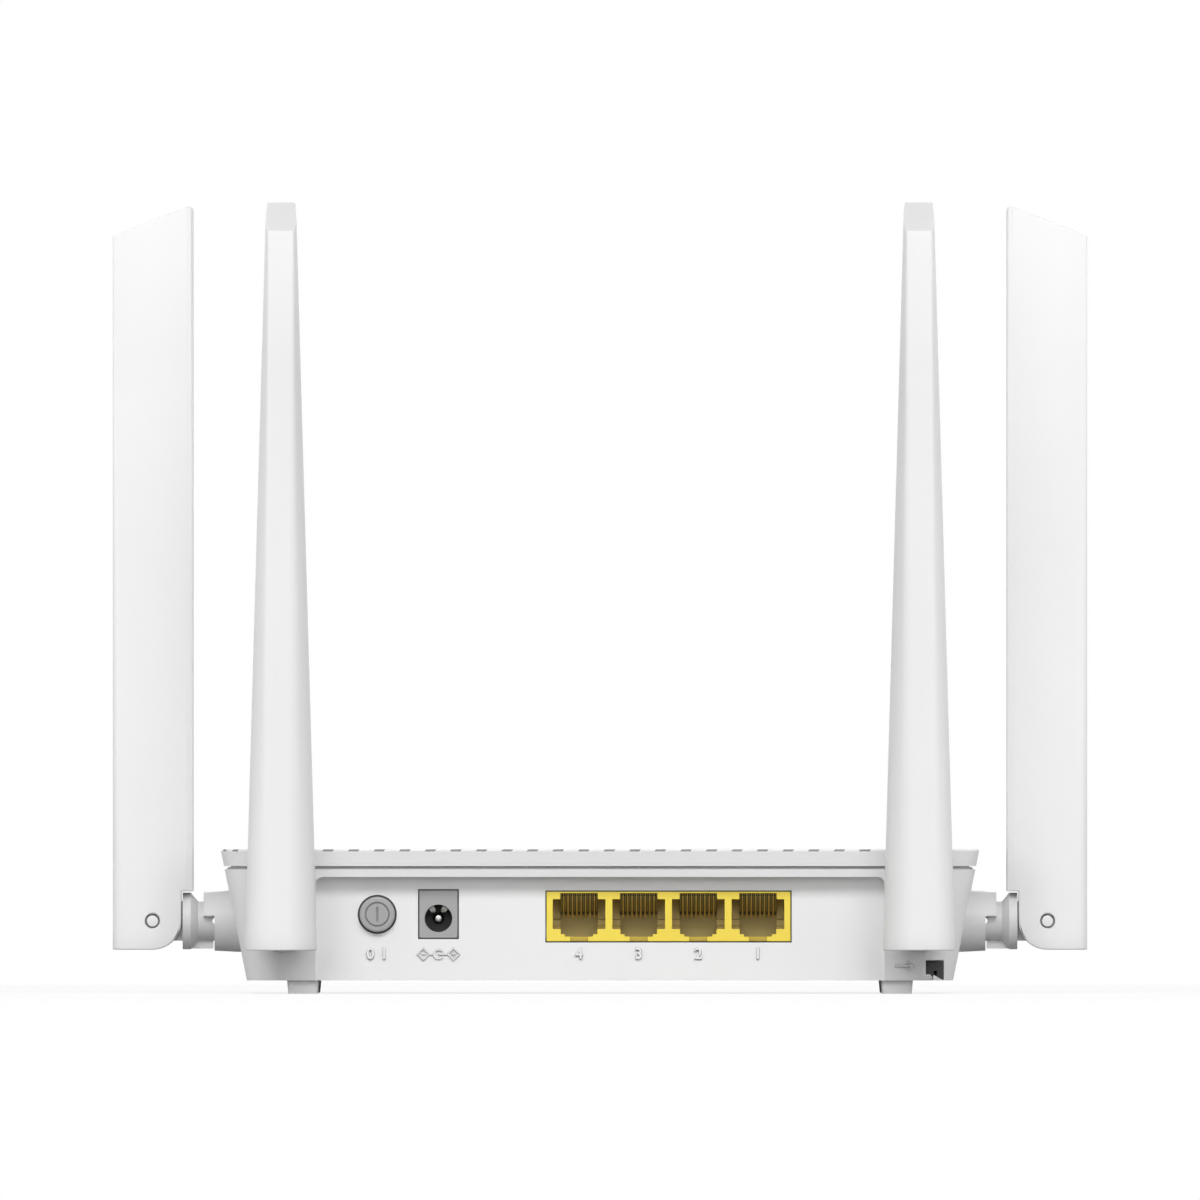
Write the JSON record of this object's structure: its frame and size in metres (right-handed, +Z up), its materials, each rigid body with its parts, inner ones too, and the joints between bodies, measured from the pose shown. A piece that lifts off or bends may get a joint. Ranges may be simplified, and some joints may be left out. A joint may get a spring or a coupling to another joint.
{
  "type": "optical network terminal",
  "caption": "Low white desktop optical network terminal with recessed rear ports and flat antennas on two-axis friction hinges, standing on feet.",
  "frame": {"origin": "under the middle of the whole object, on the surface the feet stand on", "axes": "+Z up, -Y out of the port panel, +X to the right as the ports are faced"},
  "size_m": [0.2274, 0.1456, 0.1831],
  "materials": {
    "white_plastic": "fine satin moulding",
    "yellow_plastic": "satin moulding",
    "grey_plastic": "satin moulding",
    "black_plastic": "satin moulding",
    "clear_plastic": "polished",
    "circuit_board": "solder mask",
    "lead_jacket": "smooth",
    "gold_plate": "thin bright plating",
    "nickel_plate": "bright plating",
    "bright_steel": "zinc plated"
  },
  "bodies": {
    "case": {"bottom_shell": "white_plastic", "case_screw_1": "bright_steel", "case_screw_2": "bright_steel", "case_screw_3": "bright_steel", "case_screw_4": "bright_steel", "dc_jack_body": "grey_plastic", "dc_jack_pin": "nickel_plate", "dc_jack_spring": "nickel_plate", "fibre_adapter": "grey_plastic", "lan_contacts_1": "gold_plate", "lan_contacts_2": "gold_plate", "lan_contacts_3": "gold_plate", "lan_contacts_4": "gold_plate", "lan_jack_block": "yellow_plastic", "left_rear_feed": "lead_jacket", "left_rear_hinge_base": "white_plastic", "left_side_feed": "lead_jacket", "left_side_hinge_base": "white_plastic", "light_pipe": "clear_plastic", "main_board": "circuit_board", "optical_transceiver": "nickel_plate", "power_switch": "black_plastic", "reset_switch": "black_plastic", "right_rear_feed": "lead_jacket", "right_rear_hinge_base": "white_plastic", "right_side_feed": "lead_jacket", "right_side_hinge_base": "white_plastic", "shield_can": "bright_steel", "top_cover": "white_plastic"},
    "left_rear_blade": {"left_rear_blade": "white_plastic", "left_rear_blade_back": "white_plastic", "left_rear_radiator": "circuit_board"},
    "left_rear_swivel": {"left_rear_pivot_pin": "white_plastic", "left_rear_swivel": "white_plastic"},
    "left_side_blade": {"left_side_blade": "white_plastic", "left_side_blade_back": "white_plastic", "left_side_radiator": "circuit_board"},
    "left_side_swivel": {"left_side_pivot_pin": "white_plastic", "left_side_swivel": "white_plastic"},
    "power_button": {"power_button": "grey_plastic"},
    "reset_plunger": {"reset_plunger": "grey_plastic"},
    "right_rear_blade": {"right_rear_blade": "white_plastic", "right_rear_blade_back": "white_plastic", "right_rear_radiator": "circuit_board"},
    "right_rear_swivel": {"right_rear_pivot_pin": "white_plastic", "right_rear_swivel": "white_plastic"},
    "right_side_blade": {"right_side_blade": "white_plastic", "right_side_blade_back": "white_plastic", "right_side_radiator": "circuit_board"},
    "right_side_swivel": {"right_side_pivot_pin": "white_plastic", "right_side_swivel": "white_plastic"}
  },
  "joints": [
    {"name": "left_side_swivel_turn", "type": "hinge", "parent": "case", "child": "left_side_swivel", "pos_m": [-0.08474, 0.02883, 0.0168], "axis": [1, 0, 0], "range_deg": [-90, 90]},
    {"name": "left_side_blade_tilt", "type": "hinge", "parent": "left_side_swivel", "child": "left_side_blade", "pos_m": [-0.10436, 0.02883, 0.0168], "axis": [0, -1, 0], "range_deg": [0, 90]},
    {"name": "right_side_swivel_turn", "type": "hinge", "parent": "case", "child": "right_side_swivel", "pos_m": [0.08474, 0.02883, 0.0168], "axis": [1, 0, 0], "range_deg": [-90, 90]},
    {"name": "right_side_blade_tilt", "type": "hinge", "parent": "right_side_swivel", "child": "right_side_blade", "pos_m": [0.10436, 0.02883, 0.0168], "axis": [0, 1, 0], "range_deg": [0, 90]},
    {"name": "left_rear_swivel_turn", "type": "hinge", "parent": "case", "child": "left_rear_swivel", "pos_m": [-0.0739, -0.0439, 0.0168], "axis": [0, 1, 0], "range_deg": [-90, 50]},
    {"name": "left_rear_blade_tilt", "type": "hinge", "parent": "left_rear_swivel", "child": "left_rear_blade", "pos_m": [-0.0739, -0.06353, 0.0168], "axis": [1, 0, 0], "range_deg": [0, 90]},
    {"name": "right_rear_swivel_turn", "type": "hinge", "parent": "case", "child": "right_rear_swivel", "pos_m": [0.0739, -0.0439, 0.0168], "axis": [0, -1, 0], "range_deg": [-90, 50]},
    {"name": "right_rear_blade_tilt", "type": "hinge", "parent": "right_rear_swivel", "child": "right_rear_blade", "pos_m": [0.0739, -0.06353, 0.0168], "axis": [1, 0, 0], "range_deg": [0, 90]},
    {"name": "power_button_press", "type": "slide", "parent": "case", "child": "power_button", "axis": [0, 1, 0], "range_m": [0, 0.0015], "stiffness_N_per_m": 1200, "springref_m": -0.0005},
    {"name": "reset_plunger_press", "type": "slide", "parent": "case", "child": "reset_plunger", "axis": [1, 0, 0], "range_m": [0, 0.0006], "stiffness_N_per_m": 1500, "springref_m": -0.0003}
  ]
}
